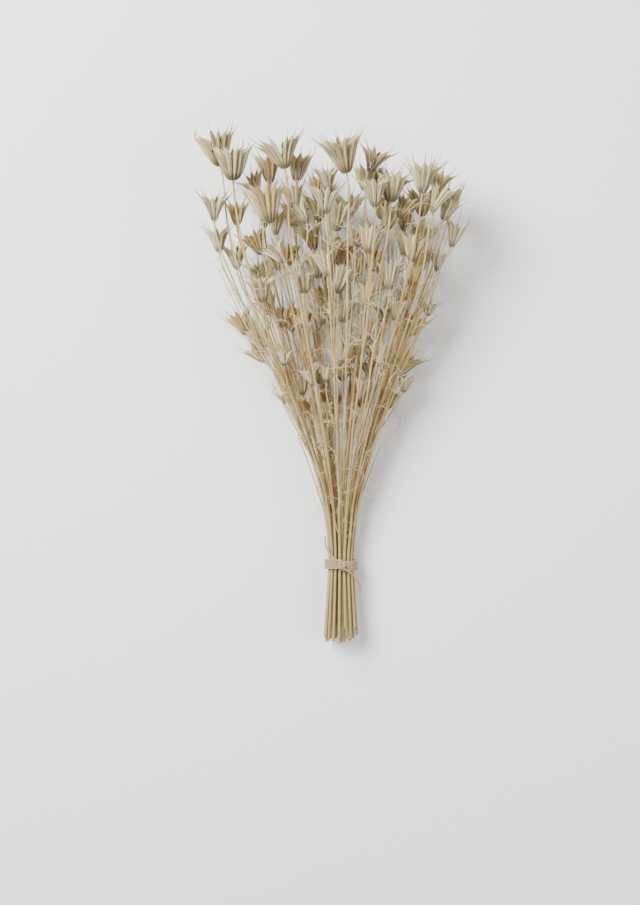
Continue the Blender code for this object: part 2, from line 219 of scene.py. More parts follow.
# The pods that are seen: where the stem meets the pod, across from the tie's middle and
# along from the tie, the pod's length and rim radius, all in mm, its lean to +X in
# degrees, and its depth, from 0 on the ground to 1 at the top of the bunch.
SEEN_HEADS = (
    (-104, 345, 29, 14, -13, 0.65),
    (-90, 330, 28, 14, -2, 0.95),
    (-48, 338, 25, 14, -13, 0.95),
    (-35, 331, 24, 10, 8, 0.62),
    (-105, 297, 22, 10, 0, 0.90),
    (-100, 272, 21, 10, -6, 0.75),
    (-63, 292, 32, 16, -10, 1.00),
    (-36, 294, 20, 8, -32, 0.85),
    (-44, 260, 20, 11, -34, 0.95),
    (-17, 323, 20, 9, -5, 0.60),
    (6, 334, 30, 16, -12, 0.95),
    (24, 339, 20, 11, 20, 0.65),
    (66, 319, 24, 12, 3, 0.92),
    (44, 311, 24, 11, 5, 0.85),
    (25, 306, 24, 12, -3, 0.97),
    (-14, 300, 23, 11, 0, 0.95),
    (75, 303, 24, 9, 24, 0.80),
    (80, 321, 20, 9, 22, 0.55),
    (91, 298, 18, 8, 22, 0.72),
    (87, 276, 22, 8, 16, 0.70),
    (52, 300, 20, 9, 28, 0.55),
    (34, 268, 24, 13, 9, 0.97),
    (61, 262, 24, 12, 11, 0.92),
    (13, 276, 16, 8, 8, 0.62),
    (-15, 248, 24, 11, -11, 1.00),
    (-37, 235, 18, 11, -6, 0.80),
    (-70, 228, 22, 11, -7, 0.90),
    (-58, 178, 19, 8, -40, 0.85),
    (-41, 174, 14, 9, 0, 0.80),
    (-27, 157, 17, 9, -18, 0.88),
    (-15, 160, 16, 8, 6, 0.95),
    (-55, 208, 20, 9, -5, 0.50),
    (-5, 235, 24, 12, 20, 0.88),
    (46, 238, 25, 11, 2, 0.88),
    (81, 256, 16, 7, 5, 0.62),
    (79, 218, 12, 8, 12, 0.55),
    (17, 225, 20, 9, 5, 0.90),
    (-6, 206, 16, 5, -3, 0.95),
    (52, 213, 19, 8, 12, 0.60),
    (25, 173, 20, 7, 0, 0.85),
    (40, 167, 16, 8, 18, 0.65),
    (49, 152, 16, 8, 14, 0.50),
    (3, 176, 22, 7, 8, 0.80),
    (66, 244, 18, 8, 14, 0.45),
    (-15, 131, 13, 5, 0, 0.60),
    (36, 138, 15, 7, 15, 0.45),
    (-40, 141, 13, 6, -24, 0.55),
)


def seen_heads():
    return [
        Head(x * MM, y * MM, length * MM, radius * MM, math.radians(lean), depth)
        for x, y, length, radius, lean, depth in SEEN_HEADS
    ]


print("pods that are seen:", len(SEEN_HEADS))

# %% [markdown]
# ## The fan
#
# The stems spread from the tie as a fan that is wider than it is high, because the bunch lies
# down. A place in it is given by u across and v up, each from -1 to 1, so one stem keeps its u
# and v all along and opens with the fan.

# %% Places in the fan
def fan_open(along):
    """How far the fan has opened at a distance from the tie: 0 at the tie, 1 at the end."""
    share = np.clip(np.asarray(along) / FAN_LENGTH, 0, 1)
    return np.sin(0.5 * np.pi * share) ** 2


def fan_half_width(along):
    start = TIE_RADIUS - STEM_RADIUS
    return start + (FAN_HALF_WIDTH - start) * fan_open(along)


def fan_point(u, v, along):
    """The x and z of the fan's own coordinates, u across and v up, both from -1 to 1."""
    opened = fan_open(along)
    start = TIE_RADIUS - STEM_RADIUS
    low = TIE_MIDDLE - start + 9 * MM * opened
    x = FAN_DRIFT * opened + u * fan_half_width(along)
    z = low + (1 + v) * (start + (FAN_HALF_HEIGHT - start) * opened)
    return np.stack(np.broadcast_arrays(x, z), axis=-1)


def fan_place(head):
    """A head's u and v. Its depth runs between the fan's lower and upper surface."""
    drift = FAN_DRIFT * float(fan_open(head.along))
    u = max(-0.97, min(0.97, (head.across - drift) / float(fan_half_width(head.along))))
    reach = math.sqrt(1 - 0.92 * u * u)
    return u, reach * (2 * head.depth - 1)


# %% Pods under the ones that are seen
def hidden_heads(draw):
    """The pods under the ones that are seen, evenly spread by two irrational steps."""
    heads = []
    for i in range(HIDDEN_HEADS):
        along = (128 + 205 * ((i * 0.7549) % 1) ** 0.75) * MM
        u = 1.76 * ((0.31 + i * 0.5698) % 1) - 0.88
        size = 0.75 + 0.25 * along / FAN_LENGTH
        across = FAN_DRIFT * float(fan_open(along)) + u * float(fan_half_width(along))
        heads.append(Head(
            across, along, draw.uniform(20, 26) * size * MM, draw.uniform(8.5, 12.5) * size * MM,
            math.radians(draw.uniform(-14, 14) + 16 * u), max(draw.uniform(-0.12, 0.6), 0.0),
        ))
    return heads


# %% [markdown]
# ## Stems that make room for each other
#
# Each stem or shoot is a strand: a place and a radius every 5 mm along the bunch. Wherever two
# strands are too close in a slice, both are pushed apart a little, and this is done a few
# hundred times. The tie and the table push back. A physics simulation could do the same, but
# this is quick, and it gives the same bunch every time.

# %% One strand
class Strand:
    """A stem or a side shoot with the pod at its end, as a place and a radius a slice."""

    def __init__(self, head, parent, fork, slices):
        self.head = head
        self.parent = parent
        self.u, self.v = fan_place(head)
        self.first = fork
        self.base = int(round(head.along / LEVEL))
        self.last = min(len(slices) - 1, int(math.ceil(self.top() / LEVEL)))
        self.centre = np.zeros((len(slices), 2))
        self.radius = np.zeros(len(slices))
        self.share = 1.0

    def top(self):
        head = self.head
        rise = (head.length + BEAK_LENGTH) * math.cos(head.lean)
        return head.along + rise + 0.3 * head.radius * abs(math.sin(head.lean))

    def route(self, slices, stem, tilt):
        """The strand's own way through the fan, before its neighbours push it aside."""
        head = self.head
        u, v = self.u, self.v
        if stem is not None:
            start = self.first * LEVEL
            share = np.clip((slices - start) / (head.along - start), 0, 1)
            eased = 1 - (1 - share) ** 1.5
            u = stem.u + (self.u - stem.u) * eased
            v = stem.v + (self.v - stem.v) * eased
        self.centre = fan_point(u, v, slices)
        at_head = fan_point(self.u, self.v, head.along)
        before = fan_point(self.u, self.v, head.along - LEVEL)
        slope = np.array([math.tan(head.lean), math.tan(tilt)])
        bend = slope - (at_head - before) / LEVEL
        rise = slices - head.along
        turn = np.clip(1 + rise / BEND_LENGTH, 0, 1) ** 2
        self.centre += (rise * turn * (rise < 0))[:, None] * bend
        past = rise >= 0
        self.centre[past] = at_head + rise[past, None] * slope

    def thicken(self, slices):
        """Stem radius below the pod, and the pod's own radius along its length."""
        head = self.head
        thick, thin = stem_radii(self)
        begin = self.first * LEVEL
        share = np.clip((slices - begin) / (head.along - begin), 0, 1)
        stem = thick + (thin - thick) * share
        reach = math.cos(head.lean)
        height = (slices - head.along) / (head.length * reach)
        pod = head.radius * (0.46 + 0.54 * height) / reach
        pod = np.minimum(pod, head.radius * BEAK_FLARE / reach)
        inside = (np.arange(len(slices)) >= self.base) & (height > -0.05)
        self.radius = np.where(inside, np.maximum(pod, stem), stem)

    def shrink(self, share):
        self.share *= share
        self.radius[self.base:] *= share


def stem_radii(strand):
    if strand.parent is None:
        return STEM_RADIUS, NECK_RADIUS
    return SHOOT_RADIUS, SHOOT_NECK_RADIUS


# %% Stems for the tallest pods, shoots for the rest
def grow_strands(draw):
    """Stems for the tallest heads, then a side shoot for every other head."""
    heads = sorted(seen_heads() + hidden_heads(draw), key=lambda head: -head.along)
    top = max(head.along + head.length + BEAK_LENGTH for head in heads)
    slices = np.arange(0, top + LEVEL, LEVEL)
    strands = [Strand(head, None, 0, slices) for head in heads[:SPRAYS]]
    for strand in strands:
        strand.route(slices, None, math.radians(draw.uniform(-10, 12)))
    shoots = [0] * SPRAYS
    for head in heads[SPRAYS:]:
        parent, fork = nearest_stem(head, strands[:SPRAYS], shoots)
        shoots[parent] += 1
        shoot = Strand(head, parent, fork, slices)
        shoot.route(slices, strands[parent], math.radians(draw.uniform(-10, 12)))
        strands.append(shoot)
    for strand in strands:
        strand.thicken(slices)
    return strands, slices


def nearest_stem(head, stems, shoots):
    """The stem that passes closest below a head, and the slice where its shoot forks."""
    u, v = fan_place(head)
    place = fan_point(u, v, head.along)
    found = []
    for i, stem in enumerate(stems):
        if shoots[i] >= MOST_SHOOTS:
            continue
        gap = float(np.linalg.norm(stem.centre[int(head.along / LEVEL)] - place))
        length = min(max(45 * MM, 2.4 * gap), 120 * MM)
        fork = int((head.along - length) / LEVEL)
        if fork * LEVEL < stem.head.along - 30 * MM and fork > 6:
            found.append((gap + 4 * MM * shoots[i], i, fork))
    _, parent, fork = min(found)
    return parent, fork


# %% How finely the strands are pushed
LEVEL = 5 * MM  # the height of a slice
CLEARANCE = 0.75 * MM  # between neighbours, while they are pushed
TOUCH_GAP = 0.5 * MM  # between neighbours, at the least
ROUNDS = (320, 200)  # with full pods, then with pods that gave way
LEAST_SHARE = 0.6  # of its size that a pod keeps after the first pass
SMALLEST_SHARE = 0.4  # a shoot whose pod ends smaller than this didn't grow
LYING_DEPTH = 0.06  # pods this low in the bunch lie on the ground
FORK_FREE = 28 * MM  # a shoot isn't pushed off its own stem this close to the fork
PUSH = 0.45  # the share of an overlap that one round takes away
HOMING = 0.985  # what is left of a shift as the strands are drawn home
HOMING_ROUNDS = 0.7  # the share of the rounds in which they are
WAIST_LENGTH = 70 * MM  # how far past the tie it still holds the stems
WAIST_OPENING = 0.16  # how fast its hold opens past the tie

# %% Push the strands apart
def push_apart(strands, slices, rounds):
    """Moves the strands sideways, slice by slice, until none crosses another."""
    count, levels = len(strands), len(slices)
    home = np.array([s.centre for s in strands])
    radius = np.array([s.radius for s in strands])
    index = np.arange(levels)
    lying = [i for i, s in enumerate(strands) if s.head.depth < LYING_DEPTH]
    live = np.array([(index >= s.first) & (index <= s.last) for s in strands])
    meet = live[:, None] & live[None]
    for i, strand in enumerate(strands):
        meet[i, i] = False
        for j, other in enumerate(strands[:i]):
            if root_of(i, strand) == root_of(j, other):
                free = max(strand.first, other.first) + int(FORK_FREE / LEVEL)
                meet[i, j, :free] = meet[j, i, :free] = False
    need = (radius[:, None] + radius[None] + CLEARANCE) * meet
    shift = np.zeros_like(home)
    tie_middle = np.array((0, TIE_MIDDLE))
    held = TIE_RADIUS * FLAT_SHARE - STEM_RADIUS - 0.3 * MM
    held = held + WAIST_OPENING * np.maximum(slices - TIE_HALF_LENGTH - LEVEL, 0)
    for turn in range(rounds):
        place = home + shift
        gap = place[:, None] - place[None]
        distance = np.sqrt((gap ** 2).sum(-1)) + 1e-9
        over = np.maximum(need - distance, 0)
        shift += PUSH * (gap * (over / distance)[..., None]).sum(1)
        if turn < rounds * HOMING_ROUNDS:
            shift *= HOMING
        place = home + shift
        above = place[..., 1] - radius - 0.15 * MM
        shift[..., 1] += np.maximum(-above, 0)
        for i in lying:
            pod = slice(strands[i].base, strands[i].last + 1)
            shift[i, pod, 1] -= 0.3 * above[i, pod].min()
        from_middle = home + shift - tie_middle
        away = np.sqrt((from_middle ** 2).sum(-1))
        pull = np.maximum(away - held, 0) * (slices < WAIST_LENGTH)
        shift -= from_middle * (pull / np.maximum(away, 1e-9))[..., None]
        for i, strand in enumerate(strands):
            smooth(shift[i], strand, shift)
    for strand, own in zip(strands, home + shift):
        strand.centre = own


def root_of(i, strand):
    return i if strand.parent is None else strand.parent


def smooth(own, strand, shift):
    """Keeps a pod rigid, a shoot on its stem, and the stem between them an even curve."""
    low, high = strand.first, strand.base
    own[high:] = own[high:strand.last + 1].mean(axis=0)
    if strand.parent is not None:
        own[:low + 1] = shift[strand.parent][low]
    for _ in range(3):
        middle = 0.5 * (own[low:high - 1] + own[low + 2:high + 1])
        own[low + 1:high] += 0.6 * (middle - own[low + 1:high])


# %% Let crowded pods give way
def fitted_shares(strands):
    """How much of its size each pod keeps, to give way to what still crowds it."""
    shares = []
    for strand in strands:
        share = 1.0
        for level in range(strand.base, strand.last + 1):
            for other in strands:
                if other is strand or not other.first <= level <= other.last:
                    continue
                apart = float(np.linalg.norm(strand.centre[level] - other.centre[level]))
                room = max(apart - other.radius[level] - TOUCH_GAP, 0)
                share = min(share, room / strand.radius[level])
        shares.append(float(share))
    return shares


def make_room(strands, slices):
    """Pushes the strands apart. Where pods still crowd, they shrink, and it is done again.

    Returns the strands without the shoots whose pod found no room at all.
    """
    push_apart(strands, slices, ROUNDS[0])
    for strand, share in zip(strands, fitted_shares(strands)):
        strand.shrink(max(share, LEAST_SHARE))
    push_apart(strands, slices, ROUNDS[1])
    for strand, share in zip(strands, fitted_shares(strands)):
        strand.shrink(share)
    return [s for s in strands if s.parent is None or s.share > SMALLEST_SHARE]


# %% Lay out the bunch
layout_draw = random.Random(SEED)
strands, slices = grow_strands(layout_draw)
strands = make_room(strands, slices)
print("strands:", len(strands), "smallest share of a pod:", round(min(s.share for s in strands), 2))

# %% The cut ends
def tail_points(at_tie, draw):
    """A stem below the tie, splayed a little and resting on the ground."""
    x, z = at_tie
    lowest = TIE_MIDDLE - TIE_RADIUS + STEM_RADIUS
    end = CUT_END + draw.uniform(-1, 1) * CUT_STAGGER
    splayed = Vector((x * TAIL_SPLAY, end, STEM_RADIUS + (z - lowest) * TAIL_SPLAY))
    return [splayed, Vector((x, -TIE_HALF_LENGTH, z))]


# %% [markdown]
# ## Sheets of points
#
# Stems, pods, beaks and thread leaves are all rows and columns of points with faces between them.
# A heap gathers such sheets, with where each face is along its sheet and a tone for each point,
# and makes one mesh of them at the end. Editing a mesh face by face would be far slower for
# hundreds of thousands of faces.

# %% Gather sheets into one mesh
STEM, POD, BRISTLE, THREAD = range(4)  # the finishes, in the order of a piece's slots


class Heap:
    """Sheets of points, gathered with their marks until they become one mesh."""

    def __init__(self):
        self.points, self.tones = [], []
        self.faces, self.grain, self.finishes = [], [], []
        self.count = 0

    def add(self, grid, along, tone=(0, 0, 0), finish=0, closed=False, keep=None):
        """A sheet of rows and columns. A closed one joins its last column to its first."""
        rows, columns = grid.shape[:2]
        index = self.count + np.arange(rows * columns).reshape(rows, columns)
        steps = columns if closed else columns - 1
        near = np.arange(steps)
        far = (near + 1) % columns
        faces = np.stack([index[:-1, near], index[:-1, far], index[1:, far], index[1:, near]], -1)
        u, v = np.meshgrid(np.arange(steps + 1) / steps, along)
        spot = np.stack([u, v], -1)
        grain = np.stack([spot[:-1, :-1], spot[:-1, 1:], spot[1:, 1:], spot[1:, :-1]], 2)
        if keep is None:
            keep = np.ones((rows - 1, steps), bool)
        self.points.append(grid.reshape(-1, 3))
        self.tones.append(np.tile(tone, (rows * columns, 1)))
        self.faces.append(faces[keep])
        self.grain.append(grain[keep].reshape(-1, 2))
        self.finishes.append(np.full(int(keep.sum()), finish))
        self.count += rows * columns

    def made(self, name, finishes):
        """One object of all the sheets."""
        faces = np.concatenate(self.faces)
        used, faces = np.unique(faces, return_inverse=True)
        faces = faces.reshape(-1, 4)
        mesh = bpy.data.meshes.new(name)
        mesh.from_pydata(np.concatenate(self.points)[used].tolist(), [], faces.tolist())
        grain = mesh.uv_layers.new(name="grain")
        grain.data.foreach_set("uv", np.concatenate(self.grain).ravel())
        tone = mesh.attributes.new("tone", "FLOAT_VECTOR", "POINT")
        tone.data.foreach_set("vector", np.concatenate(self.tones)[used].ravel())
        for finish in finishes:
            mesh.materials.append(finish)
        mesh.polygons.foreach_set("material_index", np.concatenate(self.finishes))
        mesh.polygons.foreach_set("use_smooth", np.ones(len(faces), bool))
        mesh.update()
        return placed(name, mesh)


# %% Tubes along a line
UPRIGHT = (0, 0, 1)
CM_IN_METRE = 100  # the finishes of stems and twine are measured in centimetres


def square_to(way, other):
    """Two directions square to a way. The first is square to the other direction too."""
    side = unit(np.cross(way, other))
    return side, np.cross(side, way)


def circle(side, up, angle):
    """Points of a circle of radius 1 in the plane of two directions."""
    return np.cos(angle)[..., None] * side + np.sin(angle)[..., None] * up


def tube(points, radii, sides):
    """Rings of points round a line that nowhere stands upright."""
    side, up = square_to(unit(np.gradient(points, axis=0)), UPRIGHT)
    angle = np.linspace(0, math.tau, sides, endpoint=False)
    return points[:, None] + circle(side[:, None], up[:, None], angle) * radii[:, None, None]


def run_lengths(points):
    """How far along its line each point is."""
    steps = np.linalg.norm(np.diff(points, axis=0), axis=1)
    return np.concatenate([[0], np.cumsum(steps)])


def past_tie(points):
    """How far beyond the tie each point is, in centimetres."""
    return points[:, 1] * CM_IN_METRE


# %% [markdown]
# ## The seed pods
#
# A pod of this nigella is a ring of flat follicles, each folded along its back like a pea pod.
# They are grown together from the stem to about three quarters of their height. Above that each
# one stands free as a small fin, and its back runs on into a stiff bristle. Every follicle here
# is one folded sheet. Its middle column is the keel on the outside, and its two edges meet near
# the pod's middle, where the dry follicle gapes. Some pods are round-bottomed cups and some are
# straight funnels, and old ones split apart, so a few numbers are drawn afresh for each pod.

# %% The room that the plain bunch gives
EDGE = 0.8 * MM  # half the thickest thing that may lie along the box's sides
BRISTLE_ROOM = 6 * MM  # bristles may stand a little past the tallest pod
BOX_LOW, BOX_HIGH = np.array(plain_box[0]) + EDGE, np.array(plain_box[1]) - EDGE
BOX_HIGH[1] += BRISTLE_ROOM
print("room in mm:", (BOX_LOW / MM).round(), (BOX_HIGH / MM).round())

# %% The rows and folds of a follicle
POD_ROWS = np.array((0, 0.05, 0.12, 0.22, 0.36, 0.5, 0.6, 0.68, 0.76, 0.83, 0.89, 0.95, 1.0))
HALF_FOLDS = np.array((0, 0.05, 0.12, 0.2, 0.32, 0.5, 0.72, 0.9, 1.0))
FOLDS = np.concatenate([-HALF_FOLDS[:0:-1], HALF_FOLDS])
FREE_FROM = 0.76  # the share of its height where a follicle comes free
GAPING_FROM = 0.68  # the share where its inner edge leaves the pod's middle
SPLIT_PODS = 0.5  # the share of pods that gape in a V
SPLIT_FROM = 0.28  # the share of its height where a V begins
FLARED_FROM = 0.45  # the share where a follicle starts to lean in or out
OPEN_BELOW = 0.45  # below this share of its height a follicle's hidden folds are left out
INNER_FOLD = 0.34  # folds farther in than this are the hidden ones
FIN_EDGE = 0.025  # the least half width of a fin, in pod radii
CORE = 0.06  # where the inner edges meet, in pod radii


def keel_line(bowl):
    """The keel's distance from the pod's axis at each row, for a funnel or a cup."""
    at = (0, 0.05, 0.17, 0.4, 0.7, 0.84, 1)
    funnel = np.interp(POD_ROWS, at, (0.18, 0.27, 0.38, 0.56, 0.79, 0.92, 1.1))
    cup = np.interp(POD_ROWS, at, (0.20, 0.38, 0.60, 0.80, 0.92, 0.97, 1.04))
    return funnel + (cup - funnel) * bowl


def follicle_total(radius):
    """Wide pods have more follicles than narrow ones."""
    return 8 if radius < 8.5 * MM else 10 if radius < 12.5 * MM else 13


def risen(height, start):
    """0 up to a share of the height, then evenly up to 1 at the top."""
    return np.clip((height - start) / (1 - start), 0, 1)


def follicle_sheet(keel, total):
    """A follicle's points as (out, across) shares of the pod's radius."""
    wedge = math.tan(math.pi / total)
    groove = keel * (0.68 + 0.05 * POD_ROWS)
    gaping = risen(POD_ROWS, GAPING_FROM)
    edge = CORE + (keel[-1] - 2 * CORE) * gaping ** 1.1
    out = keel[:, None] - (keel - edge)[:, None] * np.abs(FOLDS)
    depth = (keel[:, None] - out) / (keel - groove)[:, None]
    ridge = groove[:, None] * wedge * np.clip(depth, 0, 9) ** 0.8
    free = risen(POD_ROWS, FREE_FROM)[:, None]
    slim = groove[:, None] * wedge * (1 - free) ** 0.55 * (1 - 0.35 * FOLDS ** 2) + FIN_EDGE
    across = np.minimum(np.minimum(ridge, out * wedge * 0.97), np.where(free > 0, slim, 9))
    return out, across * np.sign(FOLDS)


# %% One pod
def add_pod(heap, base, axis, length, radius, depth, draw):
    """A whole pod with its bristles. depth is its place in the bunch, 1 at the top."""
    total = follicle_total(radius)
    side, up = square_to(axis, UPRIGHT)
    keel = keel_line(0.75 * draw.random() ** 1.5)
    out, across = follicle_sheet(keel, total)
    # A pod's tone rises with its height in the bunch: low pods turn golden and high ones greyer,
    # partly own colour and partly painted shade and bounce light.
    pod_tone_and_height_shade = min(max(draw.gauss(0.05 + 0.8 * depth, 0.16), 0), 1)
    split = draw.random() < SPLIT_PODS
    split_angle = draw.gauss(0, 0.5)
    split_gap = draw.uniform(0.16, 0.36) if split else 0
    radius *= 1.08 - 0.35 * split_gap
    split_way = math.cos(split_angle) * side + math.sin(split_angle) * up
    inside = np.abs(0.5 * (FOLDS[1:] + FOLDS[:-1]))[None] > INNER_FOLD
    keep = ~(inside & (POD_ROWS[:-1, None] < OPEN_BELOW))
    high = POD_ROWS[:, None]
    for k in range(total):
        angle = -math.pi / 2 + math.tau * (k + draw.uniform(-0.08, 0.08)) / total
        way = math.cos(angle) * side + math.sin(angle) * up
        along_rim = math.cos(angle) * up - math.sin(angle) * side
        flare = draw.uniform(-0.06, 0.12)
        twist = draw.uniform(-0.1, 0.1)
        stretch = draw.uniform(-0.08, 0.04)
        half = 1 if math.cos(angle - split_angle) > 0 else -1
        apart = half * split_gap * risen(high, SPLIT_FROM) ** 1.2
        flared = out + flare * risen(high, FLARED_FROM) ** 2
        swung = across + twist * high ** 2
        grid = (
            base
            + (high * length * (1 + stretch * high))[..., None] * axis
            + (flared * radius)[..., None] * way
            + (swung * radius)[..., None] * along_rim
            + (apart * radius)[..., None] * split_way
        )
        grid = np.clip(grid, BOX_LOW, BOX_HIGH)
        tone = (pod_tone_and_height_shade, draw.random(), depth)
        heap.add(grid, POD_ROWS, tone, POD, keep=keep)
        middle = len(FOLDS) // 2
        add_bristle(heap, grid[-2, middle], grid[-1, middle], way, along_rim, tone, draw)


def add_bristle(heap, below, top, way, along_rim, tone, draw):
    """The beak: a stiff bristle that runs on from the keel and bends a little."""
    share = np.linspace(0, 1, 6)[:, None]
    heading = unit(top - below)
    length = draw.uniform(6, 11.5) * MM
    bend = draw.uniform(-0.5, 1.4) * MM * way + draw.uniform(-1.6, 1.6) * MM * along_rim
    line = top - heading * 0.8 * MM + heading * length * share + bend * share ** 2
    line = np.clip(line, BOX_LOW, BOX_HIGH)
    radii = (0.42 - 0.3 * share[:, 0]) * MM
    heap.add(tube(line, radii, 3), share[:, 0], tone, BRISTLE, closed=True)


# %% [markdown]
# ## The stems and shoots
#
# A dry stem is round with fine ribs, thickest at the cut, and swollen a little wherever a shoot
# leaves it. It also wanders slightly from a clean curve. A curve object with a bevel would give
# an even tube, but the swellings and the hollow cut end need rings of different sizes.

# %% One stem or shoot
STEM_SLIMMED = 0.8  # a round stem against the plain five-sided one
FORK_SWELLING = 3 * MM
SWAY = 0.3 * MM  # how far a stem wanders from a clean curve
CUT_BEVEL = 0.2 * MM
# The cut end from inside: how deep each ring lies in mm, and its share of the stem's radius
HOLLOW_RINGS = ((1.6, 0.05), (1.5, 0.5), (0.1, 0.55), (0, 0.9))


def stalk_line(strand, draw):
    """The strand's own line as points, and where its pod sits."""
    points = [
        Vector((strand.centre[k][0], k * LEVEL, strand.centre[k][1]))
        for k in range(strand.first, strand.base + 1)
    ]
    x, z = strand.centre[strand.last] - strand.centre[strand.base]
    axis = Vector((x, (strand.last - strand.base) * LEVEL, z)).normalized()
    rise = strand.head.along - points[-1].y
    base = points[-1] + axis * rise / axis.y
    if rise < 2 * MM:
        points.pop()
    points.append(base)
    if strand.parent is None:
        points = tail_points(strand.centre[0], draw) + points
    return np.array(points), np.array(base), np.array(axis)


def add_stalk(heap, strand, points, forks, tone, draw):
    """The tube of a stem or shoot, swollen at its forks and under its pod."""
    thick, thin = stem_radii(strand)
    share = (points[:, 1] - points[0, 1]) / (points[-1, 1] - points[0, 1])
    radii = STEM_SLIMMED * (thick + (thin - thick) * share)
    for fork in forks:
        radii = radii * (1 + 0.4 * np.exp(-((points[:, 1] - fork) / FORK_SWELLING) ** 2))
    radii[-1] *= 1.5
    still = np.sin(math.pi * np.clip(share * 1.02, 0, 1)) * (points[:, 1] > 15 * MM)
    for axis in (0, 2):
        wave = math.tau / draw.uniform(35, 70) / MM
        points[:, axis] += SWAY * still * np.sin(wave * points[:, 1] + draw.uniform(0, 6))
    if strand.parent is None:
        start, way = points[0], unit(points[1] - points[0])
        points = np.concatenate([[start + way * CUT_BEVEL], points[1:]])
        grid = tube(points, radii, 8)
        rings = [start + way * depth * MM + (grid[0] - points[0]) * size
                 for depth, size in HOLLOW_RINGS]
        grid = np.concatenate([rings, grid])
    else:
        grid = tube(points, radii, 6)
    heap.add(grid, past_tie(grid[:, 0]), tone, STEM, closed=True)


# %% [markdown]
# ## Bare twigs
#
# Low on a stem, side shoots often die back before they flower. They stay as thin bare twigs that
# lean away from their stem and fill the waist of the bunch. Each follows its own stem's line and
# moves off it, outwards and to one side, so it needs no route of its own.

# %% One twig
TWIG_RADIUS = 0.72 * MM
TWIG_STEP = 4 * MM


def twig_line(stem, start, length, side, draw):
    """A line that leaves a stem at a height and draws away from it."""
    count = int(length / TWIG_STEP)
    y = start + length * np.linspace(0, 1, count)
    levels = np.arange(len(stem.centre)) * LEVEL
    x, z = (np.interp(y, levels, stem.centre[:, a]) for a in (0, 1))
    out = unit(np.array((x[-1] - FAN_DRIFT * float(fan_open(y[-1])), z[-1] - z.mean() + 4 * MM)))
    turn = side * draw.uniform(0.3, 1.1)
    away = np.array((out[0] * math.cos(turn) - out[1] * math.sin(turn),
                     out[0] * math.sin(turn) + out[1] * math.cos(turn)))
    off = draw.uniform(5, 12) * MM * np.linspace(0, 1, count) ** 0.65
    line = np.stack([x + off * away[0], y, z + off * away[1]], 1)
    return np.clip(line, BOX_LOW, BOX_HIGH)


def add_twig(heap, stem, start, side, tone, draw):
    longest = stem.head.along - 12 * MM - start
    line = twig_line(stem, start, min(draw.uniform(55, 125) * MM, longest), side, draw)
    share = np.linspace(0, 1, len(line))
    radii = TWIG_RADIUS * (1 - 0.5 * share) * (1 + 0.5 * np.exp(-(share / 0.04) ** 2))
    heap.add(tube(line, radii, 5), past_tie(line), tone, STEM, closed=True)
    return line


# %% [markdown]
# ## The thread leaves
#
# Nigella leaves are cut into threads as fine as hair. Dried, they curl up at the forks and hang
# about the stems as pale wisps. Hair strands would be the usual way, but a mesh keeps them in
# the finished model, so each is a thin three-sided tube along a line that turns a little at
# every step.

# %% One wisp
THREAD_STEP = 2.5 * MM
THREAD_RADIUS = 0.27 * MM
SIDE_THREAD_RADIUS = 0.21 * MM


def any_vector(draw, spread):
    return np.array([draw.gauss(0, spread) for _ in range(3)])


def thread_line(root, heading, length, bend, draw):
    """A line that keeps turning about a slowly drifting axis."""
    steps = max(5, int(length / THREAD_STEP))
    axis = any_vector(draw, 1)
    points = [np.array(root)]
    heading = unit(heading)
    for _ in range(steps):
        axis += 0.45 * any_vector(draw, 1)
        heading = unit(heading + bend * np.cross(unit(axis), heading))
        points.append(points[-1] + heading * length / steps)
    return np.clip(points, BOX_LOW, BOX_HIGH)


def add_thread(heap, line, radius, tone):
    share = np.linspace(0, 1, len(line))
    heap.add(tube(line, radius * (1 - 0.6 * share), 3), share, tone, THREAD, closed=True)


def add_wisp(heap, root, heading, length, tone, draw):
    """A thread leaf: a main thread with finer side threads."""
    line = thread_line(root, heading, length, 0.28, draw)
    add_thread(heap, line, THREAD_RADIUS, tone)
    for k in range(2, len(line) - 1, 2):
        turned = line[k] - line[k - 1] + 2 * MM * any_vector(draw, 0.7)
        short = draw.uniform(0.25, 0.5) * length
        side_line = thread_line(line[k], turned, short, 0.35, draw)
        add_thread(heap, side_line, SIDE_THREAD_RADIUS, tone)
